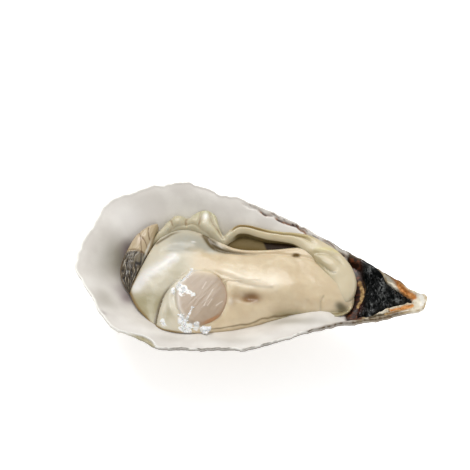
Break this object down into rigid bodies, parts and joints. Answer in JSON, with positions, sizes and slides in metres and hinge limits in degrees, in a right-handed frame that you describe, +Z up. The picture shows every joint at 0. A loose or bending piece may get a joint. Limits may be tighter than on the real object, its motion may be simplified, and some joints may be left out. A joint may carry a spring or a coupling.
{
  "type": "oyster on the half shell",
  "caption": "Opened oyster lying in its cupped, pearly half shell, with plump meat, frilled mantle edge, cut adductor muscle and a black ligament at the pointed hinge.",
  "frame": {"origin": "middle of the footprint, on the surface that the back of the shell rests on", "axes": "+X along the shell from its broad end to the hinge, +Y across it away from the near rim, +Z up out of the cup"},
  "size_m": [0.1098, 0.062, 0.0243],
  "materials": {
    "shell": "pearly smooth nacre inside with grey and lilac stains, rough flaky brown and grey growth layers outside",
    "ligament": "wet black horny ligament with a broken, glinting surface",
    "body_meat": "wet, glossy cream meat, slightly translucent",
    "mantle_meat": "wet, glossy cream to olive mantle with a pale edge",
    "gill_meat": "wet dark grey pleats with pale tips, tan at the top end",
    "muscle_meat": "wet pinkish grey muscle cut across its fibres"
  },
  "bodies": {
    "root": {"half_shell": "shell", "hinge_ligament": "ligament", "oyster_body": "body_meat", "mantle_edge": "mantle_meat", "gill_fringe": "gill_meat", "slot_gills": "gill_meat", "adductor_muscle": "muscle_meat"}
  },
  "joints": []
}
